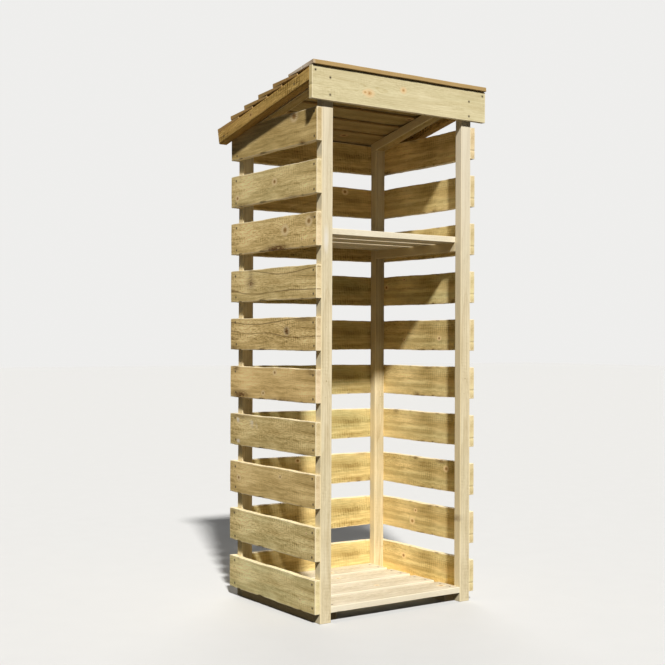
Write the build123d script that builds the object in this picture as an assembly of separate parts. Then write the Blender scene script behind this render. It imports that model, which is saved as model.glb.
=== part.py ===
"""Log store: a tall, narrow, open-fronted timber store with a kindling shelf.

Four batten posts carry horizontal slats on both sides and across the back.
A pent roof of feather-edge boards slopes down to the back, each board lapped
over the one below it, and a fascia board closes the roof at the front.

Lengths are in millimetres. X runs along the front, Y from the front to the
back and Z up. The pieces are laid out from the front left post's outer corner
on the ground, and the whole is then moved so that the origin is the centre of
its footprint.
"""
import os
from math import asin, atan, atan2, cos, hypot, radians, sin, tan

from build123d import *

# Sawn batten, one section for the posts, rafters, barge boards, rails and bearers
BATTEN_WIDE = 38.0
BATTEN_THIN = 28.0

# Frame, over the outer faces of the posts
FRAME_WIDTH = 560.0
FRAME_DEPTH = 471.0

# Slats of the sides and the back
SLAT_HEIGHT = 100.0
SLAT_THICKNESS = 18.0
SLAT_GAP = 50.0
SLAT_COUNT = 10
LOWEST_SLAT_Z = 27.0

# Floor boards, laid between the posts with open joints
FLOOR_BOARD_WIDTH = 100.0
FLOOR_BOARD_THICKNESS = 18.0
FLOOR_BOARD_COUNT = 4

# Shelf boards, laid behind the front posts: the slat whose nails hold their bearers,
# counted from the ground, and how far above its lower edge the boards lie
SHELF_SLAT = 8
SHELF_ABOVE_SLAT_FOOT = 39.0
SHELF_BOARD_WIDTH = 100.0
SHELF_BOARD_THICKNESS = 18.0
SHELF_BOARD_GAP = 15.0
SHELF_END_CLEARANCE = 1.0

# Roof: the pitch, and the feather-edge boards
ROOF_PITCH = radians(12.0)
ROOF_BACK_OVERHANG = 39.5
SLAT_TO_ROOF_CLEARANCE = 2.0
ROOF_BOARD_WIDTH = 134.0
ROOF_BOARD_THICK_EDGE = 13.0
ROOF_BOARD_THIN_EDGE = 7.0
LAPPED_BOARD_COUNT = 5
HIGHEST_LAPPED_START = 63.5
FRONT_BOARD_LAP = 46.0

# Fascia, standing a little above the rafters
FASCIA_HEIGHT = 95.0
FASCIA_THICKNESS = 16.0
FASCIA_RISE = 4.0

# Levels and places that follow from the sizes above
SLAT_PITCH = SLAT_HEIGHT + SLAT_GAP
TOP_SLAT_Z = LOWEST_SLAT_Z + (SLAT_COUNT - 1) * SLAT_PITCH + SLAT_HEIGHT
SIDE_DEPTH = FRAME_DEPTH + SLAT_THICKNESS
ROOF_FRONT_Z = TOP_SLAT_Z + SLAT_TO_ROOF_CLEARANCE + SIDE_DEPTH * tan(ROOF_PITCH)
ROOF_SIDE_OVERHANG = SLAT_THICKNESS + BATTEN_THIN
ROOF_WIDTH = FRAME_WIDTH + 2 * ROOF_SIDE_OVERHANG
ROOF_LENGTH = (SIDE_DEPTH + ROOF_BACK_OVERHANG) / cos(ROOF_PITCH)
RIGHT_POST_X = FRAME_WIDTH - BATTEN_WIDE
BACK_POST_Y = FRAME_DEPTH - BATTEN_THIN
FLOOR_UNDERSIDE_Z = BATTEN_THIN
SHELF_UNDERSIDE_Z = LOWEST_SLAT_Z + (SHELF_SLAT - 1) * SLAT_PITCH + SHELF_ABOVE_SLAT_FOOT

Point = tuple[float, float]


def block(x: float, y: float, z: float, width: float, depth: float, height: float) -> Part:
    """A square-edged piece whose left, front, lowest corner is at (x, y, z)."""
    corner = (Align.MIN, Align.MIN, Align.MIN)
    return Pos(x, y, z) * Box(width, depth, height, align=corner)


def bar(profile: list[Point], x: float, width: float) -> Part:
    """A piece of constant (y, z) profile that runs from x to x + width."""
    face = Plane.YZ.offset(x) * Polygon(*profile, align=None)
    return extrude(face, amount=width, dir=(1, 0, 0))


def roof_z(y: float) -> float:
    """Height of the rafters' top edges at a distance y behind the front posts' faces."""
    return ROOF_FRONT_Z - y * tan(ROOF_PITCH)


def on_slope(down: float, above: float) -> Point:
    """The (y, z) of a point, from its distance down the rafters and above their tops."""
    y = down * cos(ROOF_PITCH) + above * sin(ROOF_PITCH)
    z = ROOF_FRONT_Z - down * sin(ROOF_PITCH) + above * cos(ROOF_PITCH)
    return y, z


def post(x: float, y: float) -> Part:
    """A post whose top is cut to the slope, so that the rafter sits flat on it."""
    seat_drop = BATTEN_THIN / cos(ROOF_PITCH)
    back = y + BATTEN_THIN
    profile = [(y, 0), (back, 0), (back, roof_z(back) - seat_drop), (y, roof_z(y) - seat_drop)]
    return bar(profile, x, BATTEN_WIDE)


def rafter(x: float) -> Part:
    """A rafter laid flat on a front and a back post, cut plumb at both ends."""
    drop = BATTEN_THIN / cos(ROOF_PITCH)
    front_top, back_top = roof_z(0), roof_z(FRAME_DEPTH)
    profile = [(0, front_top), (FRAME_DEPTH, back_top), (FRAME_DEPTH, back_top - drop), (0, front_top - drop)]
    return bar(profile, x, BATTEN_WIDE)


def barge_board(x: float) -> Part:
    """A barge board on edge outside the slats: plumb at the fascia, square at the back."""
    profile = [
        (0, roof_z(0)),
        on_slope(ROOF_LENGTH, 0),
        on_slope(ROOF_LENGTH, -BATTEN_WIDE),
        (0, roof_z(0) - BATTEN_WIDE / cos(ROOF_PITCH)),
    ]
    return bar(profile, x, BATTEN_THIN)


def side_slat(x: float, level: int) -> Part:
    """One slat of a side, from the front posts' faces to the back of the back slats."""
    z = LOWEST_SLAT_Z + level * SLAT_PITCH
    return block(x, 0, z, SLAT_THICKNESS, SIDE_DEPTH, SLAT_HEIGHT)


def back_slats() -> Part:
    """The slats across the back posts, held between the ends of the side slats."""
    slat = block(0, FRAME_DEPTH, LOWEST_SLAT_Z, FRAME_WIDTH, SLAT_THICKNESS, SLAT_HEIGHT)
    return Part() + [Pos(0, 0, level * SLAT_PITCH) * slat for level in range(SLAT_COUNT)]


def floor_boards() -> Part:
    """Floor boards between the posts: the first is flush in front, the last at the back."""
    length = RIGHT_POST_X - BATTEN_WIDE
    board = block(BATTEN_WIDE, 0, FLOOR_UNDERSIDE_Z, length, FLOOR_BOARD_WIDTH, FLOOR_BOARD_THICKNESS)
    pitch = (FRAME_DEPTH - FLOOR_BOARD_WIDTH) / (FLOOR_BOARD_COUNT - 1)
    return Part() + [Pos(0, number * pitch, 0) * board for number in range(FLOOR_BOARD_COUNT)]


def shelf_boards() -> Part:
    """Shelf boards from the front posts back, the last one ripped to meet the back posts."""
    length = FRAME_WIDTH - 2 * SHELF_END_CLEARANCE
    boards = Part()
    y = BATTEN_THIN
    while y < BACK_POST_Y:
        width = min(SHELF_BOARD_WIDTH, BACK_POST_Y - y)
        boards += block(SHELF_END_CLEARANCE, y, SHELF_UNDERSIDE_Z, length, width, SHELF_BOARD_THICKNESS)
        y += SHELF_BOARD_WIDTH + SHELF_BOARD_GAP
    return boards


def cross_bearer(x: float, z: float) -> Part:
    """A batten laid flat between a front and a back post."""
    return block(x, BATTEN_THIN, z, BATTEN_WIDE, BACK_POST_Y - BATTEN_THIN, BATTEN_THIN)


def lapped_tilt(start: float, below: list[Point]) -> float:
    """Angle to the rafters of a board whose thin edge rests on them at start.

    The board's thick edge lies on the board below, whose top runs between two
    (down, above) points. It also has to clear that board's thin edge.
    """
    (near, near_top), (far, far_top) = below
    rise = (far_top - near_top) / (far - near)
    reach = near_top + rise * (start - near)
    by_thick_edge = atan(rise) + asin(reach / (ROOF_BOARD_WIDTH * hypot(1, rise)))
    by_thin_edge = atan2(near_top, near - start)
    return max(by_thick_edge, by_thin_edge)


def wedge(thin_corner: Point, tilt: float) -> list[Point]:
    """A feather-edge board's section, as (down, above) points from its thin edge's foot."""
    down, above = thin_corner
    across = (cos(tilt), sin(tilt))
    upward = (-sin(tilt), cos(tilt))
    thick_foot = (down + ROOF_BOARD_WIDTH * across[0], above + ROOF_BOARD_WIDTH * across[1])
    thick_top = (
        thick_foot[0] + ROOF_BOARD_THICK_EDGE * upward[0],
        thick_foot[1] + ROOF_BOARD_THICK_EDGE * upward[1],
    )
    thin_top = (down + ROOF_BOARD_THIN_EDGE * upward[0], above + ROOF_BOARD_THIN_EDGE * upward[1])
    return [thin_corner, thick_foot, thick_top, thin_top]


def lapped_sections() -> list[list[Point]]:
    """Sections of the lapped boards from the lowest up: the lowest lies flat on the rafters."""
    lowest_start = ROOF_LENGTH - ROOF_BOARD_WIDTH
    gauge = (lowest_start - HIGHEST_LAPPED_START) / (LAPPED_BOARD_COUNT - 1)
    sections = [wedge((lowest_start, 0), 0)]
    for number in range(1, LAPPED_BOARD_COUNT):
        start = lowest_start - number * gauge
        thin_foot, thick_foot, thick_top, thin_top = sections[-1]
        sections.append(wedge((start, 0), lapped_tilt(start, [thin_top, thick_top])))
    return sections


def front_section(below: list[Point]) -> list[Point]:
    """Section of the front board, turned round so that its thick edge is the front drip edge.

    Its thin edge lies on the highest lapped board and its underside on the fascia.
    """
    thin_foot, thick_foot, thick_top, thin_top = below
    rise = (thick_top[1] - thin_top[1]) / (thick_top[0] - thin_top[0])
    down = HIGHEST_LAPPED_START + FRONT_BOARD_LAP
    foot = (down, thin_top[1] + rise * (down - thin_top[0]))
    fascia_edge = (-FASCIA_RISE * sin(ROOF_PITCH), FASCIA_RISE * cos(ROOF_PITCH))
    lean = atan2(foot[1] - fascia_edge[1], foot[0] - fascia_edge[0])
    section = wedge((0, 0), -lean)
    return [(foot[0] - across, foot[1] + above) for across, above in section]


def roof_board(section: list[Point]) -> Part:
    """A roof board of the given section, over the full width of the roof."""
    return bar([on_slope(down, above) for down, above in section], -ROOF_SIDE_OVERHANG, ROOF_WIDTH)


def fascia() -> Part:
    """The board across the front of the posts that the rafters and barge boards butt against."""
    z = ROOF_FRONT_Z + FASCIA_RISE - FASCIA_HEIGHT
    return block(-ROOF_SIDE_OVERHANG, -FASCIA_THICKNESS, z, ROOF_WIDTH, FASCIA_THICKNESS, FASCIA_HEIGHT)


def build() -> dict[str, Part]:
    """Every piece of the store by its name, in the layout frame."""
    pieces = {
        "front_left_post": post(0, 0),
        "front_right_post": post(RIGHT_POST_X, 0),
        "back_left_post": post(0, BACK_POST_Y),
        "back_right_post": post(RIGHT_POST_X, BACK_POST_Y),
        "left_bottom_rail": cross_bearer(0, 0),
        "right_bottom_rail": cross_bearer(RIGHT_POST_X, 0),
        "left_floor_bearer": cross_bearer(BATTEN_WIDE, 0),
        "right_floor_bearer": cross_bearer(RIGHT_POST_X - BATTEN_WIDE, 0),
        "floor_boards": floor_boards(),
        "left_shelf_bearer": cross_bearer(0, SHELF_UNDERSIDE_Z - BATTEN_THIN),
        "right_shelf_bearer": cross_bearer(RIGHT_POST_X, SHELF_UNDERSIDE_Z - BATTEN_THIN),
        "shelf_boards": shelf_boards(),
        "back_slats": back_slats(),
        "left_rafter": rafter(0),
        "right_rafter": rafter(RIGHT_POST_X),
        "left_barge_board": barge_board(-ROOF_SIDE_OVERHANG),
        "right_barge_board": barge_board(FRAME_WIDTH + SLAT_THICKNESS),
        "fascia": fascia(),
    }
    for level in range(SLAT_COUNT):
        pieces[f"left_slat_{level + 1:02d}"] = side_slat(-SLAT_THICKNESS, level)
        pieces[f"right_slat_{level + 1:02d}"] = side_slat(FRAME_WIDTH, level)
    sections = lapped_sections()
    sections.append(front_section(sections[-1]))
    for number, section in enumerate(reversed(sections), start=1):
        pieces[f"roof_board_{number}"] = roof_board(section)
    return pieces


def centred(pieces: dict[str, Part]) -> dict[str, Part]:
    """The same pieces, moved so that the origin is the centre of the footprint."""
    box = Compound(list(pieces.values())).bounding_box()
    middle = box.center()
    return {name: Pos(-middle.X, -middle.Y, -box.min.Z) * piece for name, piece in pieces.items()}


os.makedirs("parts", exist_ok=True)
for name, piece in centred(build()).items():
    export_step(piece, f"parts/{name}.step")
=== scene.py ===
"""The log store's looks: every sawn timber with its grain, wear and nails, and a plain studio round it.

Places are in metres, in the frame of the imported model. A name that ends in _mm or _MM holds millimetres.
A board has three directions of its own: along the grain, across its width and through its thickness.
"""

import logging
import math
from collections.abc import Iterator
from dataclasses import dataclass, field, replace
from enum import Enum
from functools import partial

import bpy
import numpy as np
from mathutils import Matrix, Vector


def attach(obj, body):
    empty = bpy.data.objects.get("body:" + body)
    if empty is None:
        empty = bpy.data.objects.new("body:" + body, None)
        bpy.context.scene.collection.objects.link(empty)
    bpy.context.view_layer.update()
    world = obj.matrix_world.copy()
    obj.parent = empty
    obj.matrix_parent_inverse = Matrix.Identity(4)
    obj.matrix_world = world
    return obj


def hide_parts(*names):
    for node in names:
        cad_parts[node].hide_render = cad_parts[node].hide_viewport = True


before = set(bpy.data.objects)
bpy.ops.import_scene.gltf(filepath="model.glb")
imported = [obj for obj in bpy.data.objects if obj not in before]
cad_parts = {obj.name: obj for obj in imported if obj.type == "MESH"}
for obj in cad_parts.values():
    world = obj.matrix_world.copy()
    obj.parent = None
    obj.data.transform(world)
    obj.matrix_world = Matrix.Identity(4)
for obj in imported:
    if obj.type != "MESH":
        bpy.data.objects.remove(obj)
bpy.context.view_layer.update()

MM = 0.001
# A place, a way, a size or a colour
Triple = tuple[float, float, float]
# How far a layer covers each spot of the wood, from 0 to 1, and the layer's colour
Cover = tuple[bpy.types.Node, str]
log = logging.getLogger("log_store")


def linear(hex_colour: str) -> tuple[float, float, float, float]:
    """Turns an sRGB colour to the linear values that a shader socket takes.

    Args:
        hex_colour: a # and six hex digits.

    Returns:
        Linear red, green and blue, and an alpha of 1.
    """
    shares = [int(hex_colour[i:i + 2], 16) / 255 for i in (1, 3, 5)]
    return (*(s / 12.92 if s <= 0.04045 else ((s + 0.055) / 1.055) ** 2.4 for s in shares), 1.0)


def add(tree: bpy.types.NodeTree, kind: str, links: dict | None = None, **settings: object) -> bpy.types.Node:
    """Adds a node with its settings and links.

    Args:
        tree: the tree that gets the node.
        kind: the node's type, without the ShaderNode that each type starts with.
        links: for each input, by name or number, a value, a socket, or a node, for its first live output.
        settings: the node's own properties.

    Returns:
        The new node.
    """
    node = tree.nodes.new(f"ShaderNode{kind}")
    for name, value in settings.items():
        setattr(node, name, value)
    for name, value in (links or {}).items():
        if isinstance(value, bpy.types.Node):
            value = next(output for output in value.outputs if output.enabled)
        if isinstance(value, bpy.types.NodeSocket):
            tree.links.new(value, node.inputs[name])
        else:
            node.inputs[name].default_value = value
    return node


def bare_tree(owner: bpy.types.Material | bpy.types.World) -> bpy.types.NodeTree:
    """Clears the nodes of a material or a world.

    Args:
        owner: the material or the world.

    Returns:
        Its node tree, with nothing in it.
    """
    owner.use_nodes = True
    owner.node_tree.nodes.clear()
    return owner.node_tree


def put_in_scene(name: str, data: bpy.types.ID) -> bpy.types.Object:
    """Makes an object of a mesh, a lamp or a camera, and puts it in the scene.

    Args:
        name: the object's name.
        data: what it shows.

    Returns:
        The object.
    """
    thing = bpy.data.objects.new(name, data)
    bpy.context.scene.collection.objects.link(thing)
    return thing


class Lie(Enum):
    """How a timber lies: which of X, Y and Z runs along it, across it and through it."""

    UPRIGHT = (2, 0, 1)
    SIDE_SLAT = (1, 2, 0)
    CROSS_SLAT = (0, 2, 1)
    DECK_BOARD = (0, 1, 2)
    RUNNER = (1, 0, 2)


class Face(Enum):
    """The wide face that a timber's nails are driven from, at the low or the high end of its thickness."""

    LOW = 0
    HIGH = 1


@dataclass(frozen=True)
class Knot:
    """The oval trace of a branch: its middle, its half height, and its length over its height."""

    along: float
    across: float
    radius: float
    stretch: float = 1.2


@dataclass(frozen=True)
class Vein:
    """One strong dark growth line: the points, in millimetres along and across, that it winds through."""

    points: tuple[tuple[float, float], ...]

    # The line is the mean of this many millimetres before and after each place, which rounds its corners
    SMOOTH_MM = (-45, -30, -15, 0, 15, 30, 45)

    def offset(self, along: np.ndarray, across: np.ndarray) -> np.ndarray:
        """Measures how far places lie above the line.

        Args:
            along: places along the board, in millimetres.
            across: places across it.

        Returns:
            The distance across the board from the line.
        """
        stations, heights = zip(*sorted(self.points))
        line = [np.interp(along + step, stations, heights) for step in self.SMOOTH_MM]
        return across - sum(line) / len(line)


@dataclass(frozen=True)
class Stain:
    """A brown blot of bark or damp: its middle, half length and half height. Below 0 it is a pale scuff."""

    along: float
    across: float
    length: float
    height: float
    strength: float


@dataclass(frozen=True)
class Tone:
    """How a board differs from its neighbours: lightness, green treatment, strength of figure, and fur."""

    light: float = 1.0
    green: float = 0.3
    figure: float = 1.0
    fur: float = 1.0


@dataclass(frozen=True)
class Wear:
    """What sawing, drying and handling did to a timber's arrises, faces and ends, in millimetres."""

    arris: float = 1.0
    arris_play: float = 0.5
    chip: float = 1.4
    chips_per_metre: float = 6.0
    edge_wander: float = 0.9
    face_wander: float = 0.25
    end_wander: float = 0.5
    wane: tuple[float, float, float, float] = (0.0, 0.0, 0.0, 0.0)
    bark: float = 0.0


# Softwood keeps a dry, dull surface. IOR of cellulose
WOOD_IOR = 1.53
KNOT_SLOTS = 3
VEIN_SLOTS = 2
# What each point of a board tells its finish
VECTOR_MARKS = ("grain", "heart", "tone", *(f"knot_{slot}" for slot in range(1, KNOT_SLOTS + 1)))
NUMBER_MARKS = ("arris", "nail", "brim", "bark", "fur",
                *(f"vein_{slot}" for slot in range(1, VEIN_SLOTS + 1)))


@dataclass(frozen=True)
class TreatedPine:
    """Pressure-treated pine as it left the saw.

    To the eye: straw-coloured early wood with browner late wood in rings a few millimetres apart, a faint
    green cast of the treatment, fine ridges where each tooth of the band saw cut, and pale arrises and narrow
    faces, partly bruised wood and partly painted highlight.
    """

    name: str
    early: str = "#F8D692"
    late: str = "#A8834A"
    green: str = "#DED298"
    knot: str = "#86602E"
    knot_body: str = "#B48A4C"
    halo: str = "#FFE4B0"
    end_early: str = "#EED6B0"
    end_late: str = "#C29E6E"
    # Pale crushed wood at the arrises, which also serves as a painted highlight on the arrises and the narrow
    # faces
    arris_pale_and_highlight: str = "#F4E6C2"
    scuff: str = "#FFF6E8"
    vein: str = "#6A4A24"
    inner_bark: str = "#6E4E2A"
    iron_stain: str = "#4A3A22"
    ring_mm: float = 4.0
    ring_strength: float = 0.5
    streak_mm: Triple = (420.0, 11.0, 30.0)
    streak: float = 0.38
    mottle: float = 0.65
    fibre: float = 0.28
    fuzz: float = 0.28
    torn: float = 0.42
    saw: float = 0.8
    # A band saw leaves a mark about every 4 mm of feed. This is the closest that the render shows
    saw_pitch_mm: float = 10.0
    roughness: float = 0.8
    specular: float = 0.12

    def face(self) -> bpy.types.Material:
        """Returns the material of the faces along the grain."""
        return PineShader(self, end_grain=False).material

    def end(self) -> bpy.types.Material:
        """Returns the material of the cut ends, where the rings show as arcs."""
        return PineShader(self, end_grain=True).material


class PineShader:
    """Lays out one treated-pine material, from the growth rings up to the stains.

    Every size in millimetres is a patch's length, width and thickness in the board.
    """

    # Fibres are 0.04 mm thick. They are drawn 1.6 mm thick, the finest that the render shows
    FIBRE_MM = (70.0, 1.6, 1.6)
    MOTTLE_MM = (130.0, 45.0, 60.0)
    CAST_MM = (260.0, 34.0, 60.0)
    # Sawn pine is furry: tufts 3 mm across catch the light or lie in shade
    TUFT_MM = (16.0, 3.0, 3.0)
    # A blunt tooth tears one patch and leaves the next smooth
    FUR_PATCH_MM = (170.0, 50.0, 60.0)
    # Torn fibres leave dark dashes 10 to 20 mm long, most of them along the late wood
    DASH_MM = (15.0, 2.4, 2.4)
    DASH_SHADE = -0.45
    SWAY_MM = (330.0, 75.0, 75.0)
    SWAY_REACH = (0.018, 0.018, 0.0)
    SAW_SHAKE_MM = (40.0, 60.0, 60.0)
    SAW_SHAKE_REACH = 0.010
    SAW_LEAN = 0.12
    SAW_PATCH_MM = (90.0, 28.0, 28.0)
    SAW_SHADE = -0.22
    # Specks of dirt and resin are 2 to 4 mm across, in cells of which so many fit in a metre
    SPECKS_PER_METRE = (45.0, 60.0, 60.0)
    SPECK_SHADE = -0.28
    # Wood in shade turns browner and lifted fibres turn paler, so blue moves more than red
    SHADE_POWERS = (1.0, 1.15, 1.55)
    # The cross-cut saw scrapes a cut end smooth, which blurs the rings and cuts streaks and clouds short
    END_FUR = 0.35
    END_RINGS = 0.5
    END_STREAKS = 0.45

    def __init__(self, pine: TreatedPine, end_grain: bool) -> None:
        """Builds the material.

        Args:
            pine: the finish's colours and strengths.
            end_grain: whether the material is for the cut ends.
        """
        self.pine, self.end_grain = pine, end_grain
        self.material = bpy.data.materials.new(f"{pine.name}_{'end_grain' if end_grain else 'long_grain'}")
        self.add = partial(add, bare_tree(self.material))
        self.grain = self.add("Attribute", attribute_name="grain").outputs["Vector"]
        tone = self.add("Attribute", attribute_name="tone").outputs["Vector"]
        self.tone = self.add("SeparateXYZ", {0: tone}).outputs
        self.knots = [self._knot_distance(slot) for slot in range(1, KNOT_SLOTS + 1)]
        self.fibre = self._noise(self.FIBRE_MM, 3.0)
        self.streak = self._noise(pine.streak_mm, 3.0)
        self.tufts = self._noise(self.TUFT_MM, 2.0)
        self.band = self._rings()
        self.fur = self._fur()
        self.saw = self.add("Math", {0: self._saw_marks(), 1: self.fur}, operation="MULTIPLY")
        fuzz = self.add("Math", {0: self.tufts, 1: 0.5}, operation="SUBTRACT")
        self.fuzz = self.add("Math", {0: fuzz, 1: self.fur}, operation="MULTIPLY")

        wood = self.add("VectorMath", {0: self._clean_wood(), 1: self._light()}, operation="MULTIPLY")
        for layers in (self._veins, self._knot_layers, self._pale_edges_and_highlights, self._bark, self._nail_stain):
            for cover, colour in layers():
                wood = self.add("Mix", {0: cover, 6: wood, 7: linear(colour)}, data_type="RGBA")
        dull = self.add("MapRange", {"Value": self.fibre, "To Min": pine.roughness - 0.08,
                                     "To Max": pine.roughness + 0.08})
        shader = self.add("BsdfPrincipled", {
            "Base Color": wood, "Roughness": dull, "IOR": WOOD_IOR, "Specular IOR Level": pine.specular,
            "Normal": self._bump()})
        self.add("OutputMaterial", {"Surface": shader})

    def _noise(self, size_mm: Triple, detail: float) -> bpy.types.Node:
        """Adds noise whose patches have a real size in each direction of the board.

        Args:
            size_mm: a patch's length, width and thickness.
            detail: how many finer layers are laid over it.

        Returns:
            The noise, about 0.5 on the whole.
        """
        scale = tuple(1.0 / (size * MM) for size in size_mm)
        place = self.add("VectorMath", {0: self.grain, 1: scale}, operation="MULTIPLY")
        return self.add("TexNoise", {"Vector": place, "Scale": 1.0, "Detail": detail})

    def _knot_distance(self, slot: int) -> tuple[bpy.types.Node, bpy.types.NodeSocket]:
        """Adds the distance from one knot's middle, in knot radii.

        Args:
            slot: which of the board's knots.

        Returns:
            The distance, and the knot's radius in metres.
        """
        place = self.add("Attribute", attribute_name=f"knot_{slot}").outputs["Vector"]
        radius = self.add("SeparateXYZ", {0: place}).outputs["Z"]
        oval = self.add("VectorMath", {0: place, 1: (1.0, 1.0, 0.0)}, operation="MULTIPLY")
        reach = self.add("VectorMath", {0: oval}, operation="LENGTH")
        return self.add("Math", {0: reach, 1: radius}, operation="DIVIDE"), radius

    def _rings(self) -> bpy.types.Node:
        """Adds the growth rings: circles about the heart of the log, swayed, and pushed aside by knots.

        Returns:
            How much late wood shows, from 0 to 1.
        """
        heart = self.add("Attribute", attribute_name="heart").outputs["Vector"]
        sway = self._noise(self.SWAY_MM, 2.0).outputs["Color"]
        sway = self.add("VectorMath", {0: sway, 1: (0.5, 0.5, 0.5)}, operation="SUBTRACT")
        sway = self.add("VectorMath", {0: sway, 1: self.SWAY_REACH, 2: heart}, operation="MULTIPLY_ADD")
        reach = self.add("VectorMath", {0: sway}, operation="LENGTH")
        for distance, radius in self.knots:
            push = self.add("MapRange", {"Value": distance, "From Min": 4.5, "From Max": 0.6},
                            interpolation_type="SMOOTHSTEP")
            reach = self.add("Math", {0: push, 1: radius, 2: reach}, operation="MULTIPLY_ADD")
        ring = self.add("Math", {0: reach, 1: self.pine.ring_mm * MM}, operation="DIVIDE")
        # Late wood darkens slowly through the year and ends at once
        phase = self.add("Math", {0: ring}, operation="FRACT")
        rise = self.add("MapRange", {"Value": phase, "From Min": 0.35, "From Max": 0.9},
                        interpolation_type="SMOOTHSTEP")
        fall = self.add("MapRange", {"Value": phase, "From Min": 1.0, "From Max": 0.93})
        # Few years are strong ones
        year = self.add("Math", {0: ring}, operation="FLOOR")
        year = self.add("TexWhiteNoise", {"W": year}, noise_dimensions="1D")
        year = self.add("Math", {0: year, 1: 2.2}, operation="POWER")
        year = self.add("MapRange", {"Value": year, "To Min": 0.18, "To Max": 1.0})
        band = rise
        for share in (fall, year, self.tone["Z"]):
            band = self.add("Math", {0: band, 1: share}, operation="MULTIPLY")
        strength = self.pine.ring_strength * (self.END_RINGS if self.end_grain else 1.0)
        return self.add("Math", {0: band, 1: strength}, operation="MULTIPLY", use_clamp=True)

    def _fur(self) -> bpy.types.Node:
        """Adds the fur of the sawn face, by the board and by patches.

        Returns:
            How furry each spot is.
        """
        fur = self.add("Attribute", attribute_name="fur").outputs["Fac"]
        fur = self.add("Math", {0: fur, 1: self.END_FUR if self.end_grain else 1.0}, operation="MULTIPLY")
        patch = self.add("MapRange", {"Value": self._noise(self.FUR_PATCH_MM, 1.0), "From Min": 0.35,
                                      "From Max": 0.65, "To Min": 0.4, "To Max": 1.6})
        return self.add("Math", {0: fur, 1: patch}, operation="MULTIPLY")

    def _saw_marks(self) -> bpy.types.Node:
        """Adds the saw's marks, which cross the grain in patches.

        Returns:
            The depth of the mark, from 0 to 1.
        """
        parts = self.add("SeparateXYZ", {0: self.grain}).outputs
        shake = self._noise(self.SAW_SHAKE_MM, 1.0)
        along = self.add("Math", {0: shake, 1: self.SAW_SHAKE_REACH, 2: parts["X"]}, operation="MULTIPLY_ADD")
        lean = self.add("Math", {0: parts["Y"], 1: self.SAW_LEAN, 2: along}, operation="MULTIPLY_ADD")
        turns = 2 * math.pi / (self.pine.saw_pitch_mm * MM)
        wave = self.add("Math", {0: lean, 1: turns}, operation="MULTIPLY")
        wave = self.add("Math", {0: wave}, operation="SINE")
        wave = self.add("MapRange", {"Value": wave, "From Min": -0.2, "From Max": 1.0})
        patch = self.add("MapRange", {"Value": self._noise(self.SAW_PATCH_MM, 2.0), "From Min": 0.49,
                                      "From Max": 0.66})
        return self.add("Math", {0: wave, 1: patch}, operation="MULTIPLY")

    def _clean_wood(self) -> bpy.types.Node:
        """Adds the colours of early and late wood, under the uneven green of the treatment.

        Returns:
            The colour of clean, even wood.
        """
        pine = self.pine
        early, late = (pine.end_early, pine.end_late) if self.end_grain else (pine.early, pine.late)
        wood = self.add("Mix", {0: self.band, 6: linear(early), 7: linear(late)}, data_type="RGBA")
        cast = self.add("MapRange", {"Value": self._noise(self.CAST_MM, 2.0), "From Min": 0.3,
                                     "From Max": 0.7, "To Min": 0.6, "To Max": 1.2})
        cast = self.add("Math", {0: cast, 1: self.tone["Y"]}, operation="MULTIPLY", use_clamp=True)
        return self.add("Mix", {0: cast, 6: wood, 7: linear(pine.green)}, data_type="RGBA")

    def _light(self) -> bpy.types.Node:
        """Adds the play of light and dark: fur, streaks, clouds, fibres, saw marks, torn dashes and specks.

        Returns:
            How light each spot is, in red, green and blue.
        """
        pine = self.pine
        light = self.add("Math", {0: self.fuzz, 1: 2 * pine.fuzz, 2: 1.0}, operation="MULTIPLY_ADD")
        share = self.END_STREAKS if self.end_grain else 1.0
        mottle = self._noise(self.MOTTLE_MM, 3.0)
        for noise, strength in ((self.streak, pine.streak * share), (mottle, pine.mottle * share),
                                (self.fibre, pine.fibre)):
            swing = self.add("Math", {0: noise, 1: 0.5}, operation="SUBTRACT")
            light = self.add("Math", {0: swing, 1: 2 * strength, 2: light}, operation="MULTIPLY_ADD")
        torn = self.add("MapRange", {"Value": self._noise(self.DASH_MM, 1.0), "From Min": 0.52,
                                     "From Max": 0.68})
        late_wood = self.add("Math", {0: self.band, 1: 2.2, 2: 0.15}, operation="MULTIPLY_ADD")
        for factor in (self.fur, late_wood):
            torn = self.add("Math", {0: torn, 1: factor}, operation="MULTIPLY")
        for mark, shade in ((self.saw, self.SAW_SHADE * pine.saw), (torn, self.DASH_SHADE * pine.torn)):
            light = self.add("Math", {0: mark, 1: shade, 2: light}, operation="MULTIPLY_ADD")
        for factor in (self.tone["X"],) if self.end_grain else (self.tone["X"], self._specks()):
            light = self.add("Math", {0: light, 1: factor}, operation="MULTIPLY")
        light = self.add("Math", {0: light, 1: 0.05}, operation="MAXIMUM")
        channels = [self.add("Math", {0: light, 1: power}, operation="POWER") for power in self.SHADE_POWERS]
        return self.add("CombineXYZ", dict(enumerate(channels)))

    def _specks(self) -> bpy.types.Node:
        """Adds small dark specks of dirt and resin.

        Returns:
            1 where the wood is clean, less on a speck.
        """
        place = self.add("VectorMath", {0: self.grain, 1: self.SPECKS_PER_METRE}, operation="MULTIPLY")
        cell = self.add("TexVoronoi", {"Vector": place, "Scale": 1.0})
        chance = self.add("SeparateXYZ", {0: cell.outputs["Color"]})
        size = self.add("MapRange", {"Value": chance.outputs["X"], "From Min": 0.7, "From Max": 1.0,
                                     "To Max": 0.13})
        inside = self.add("Math", {0: cell.outputs["Distance"], 1: size}, operation="LESS_THAN")
        return self.add("Math", {0: inside, 1: self.SPECK_SHADE, 2: 1.0}, operation="MULTIPLY_ADD")

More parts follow.
